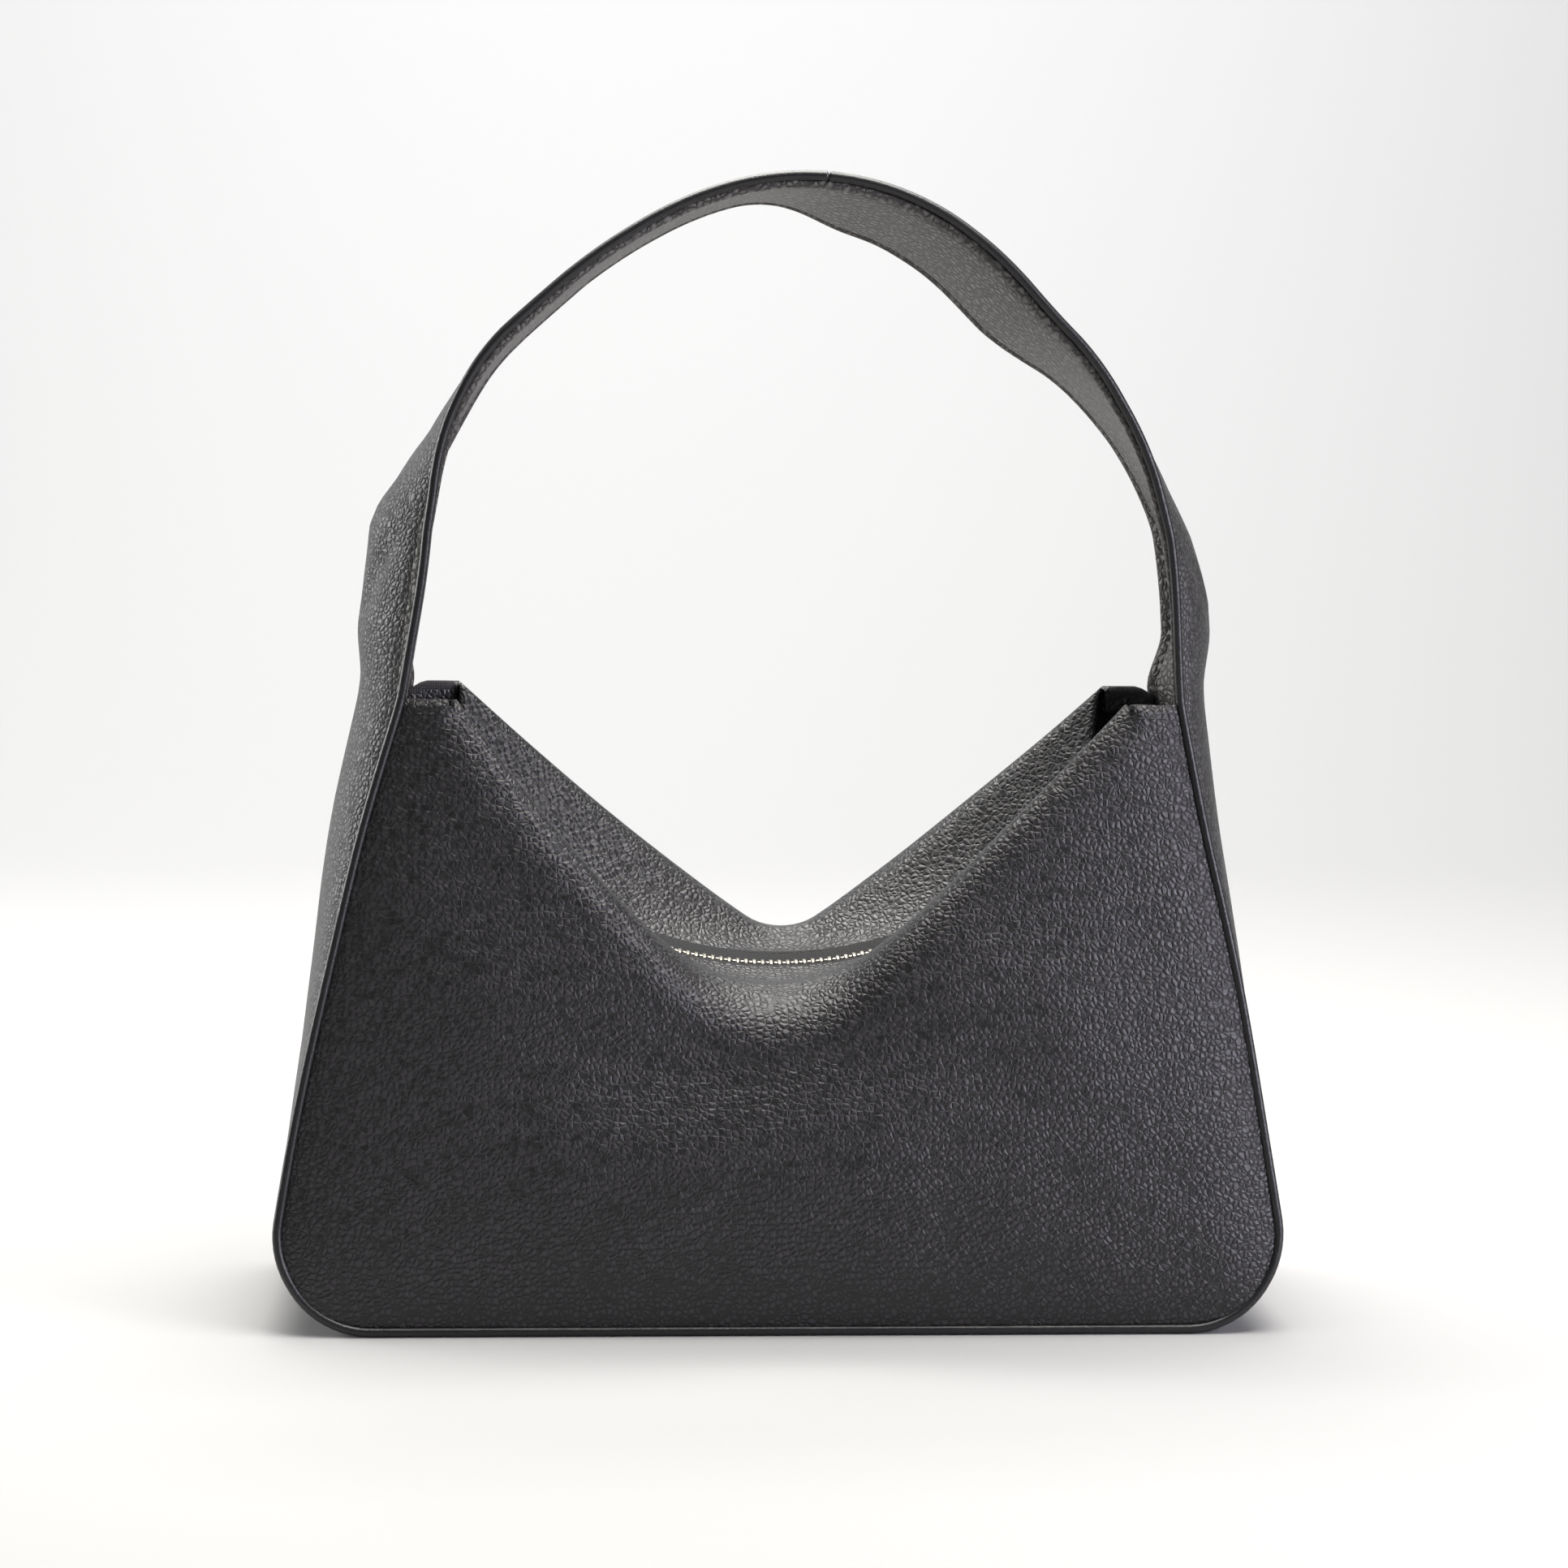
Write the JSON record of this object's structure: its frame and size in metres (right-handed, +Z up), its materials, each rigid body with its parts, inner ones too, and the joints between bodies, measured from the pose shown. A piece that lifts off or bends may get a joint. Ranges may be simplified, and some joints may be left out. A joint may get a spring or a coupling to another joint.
{
  "type": "hobo bag",
  "caption": "Slouchy leather shoulder bag with one wide strap, piped edges and a recessed zip that closes its sagging mouth.",
  "frame": {"origin": "on the floor under the middle of the bag", "axes": "+X to the bag's right as seen from the front, the front faces -Y, +Z up"},
  "size_m": [0.3002, 0.103, 0.3445],
  "materials": {
    "panel_leather": "grained",
    "gusset_leather": "grained",
    "strap_leather": "grained",
    "piping": "smooth",
    "strap_filler": "felt",
    "lining": "twill",
    "board": "matt",
    "zip_tape": "woven",
    "zip_metal": "polished",
    "slider_metal": "polished"
  },
  "bodies": {
    "bag": {"front_panel": "panel_leather", "back_panel": "panel_leather", "gusset_base": "gusset_leather", "gusset_left": "gusset_leather", "gusset_right": "gusset_leather", "piping_front": "piping", "piping_back": "piping", "base_board": "board", "lining_front": "lining", "lining_back": "lining", "lining_gusset": "lining", "slip_pocket": "lining", "zip_tape_front": "zip_tape", "zip_tape_back": "zip_tape", "zip_teeth_front": "zip_metal", "zip_teeth_back": "zip_metal", "zip_top_stops": "zip_metal", "zip_bottom_stop": "zip_metal", "strap_foot_left": "gusset_leather", "strap_foot_right": "gusset_leather"},
    "strap": {"strap_outer": "gusset_leather", "strap_core": "strap_filler", "strap_lining": "strap_leather", "strap_piping_front": "piping", "strap_piping_back": "piping"},
    "slider": {"slider_body": "slider_metal", "slider_bridge": "slider_metal"},
    "pull_tab": {"pull_tab": "slider_metal"}
  },
  "joints": [
    {"name": "strap_fold", "type": "hinge", "parent": "bag", "child": "strap", "pos_m": [0, 0, 0.205], "axis": [1, 0, 0], "range_deg": [-90, 90], "deforming": ["strap_foot_left", "strap_foot_right"]},
    {"name": "zip_travel", "type": "hinge", "parent": "bag", "child": "slider", "pos_m": [0, 0, 0.23139], "axis": [0, -1, 0], "range_deg": [0, 87.1], "deforming": ["zip_teeth_front", "zip_teeth_back"]},
    {"name": "tab_swing", "type": "hinge", "parent": "slider", "child": "pull_tab", "pos_m": [-0.08521, 0, 0.14187], "axis": [0, -1, 0], "range_deg": [0, 165]}
  ]
}
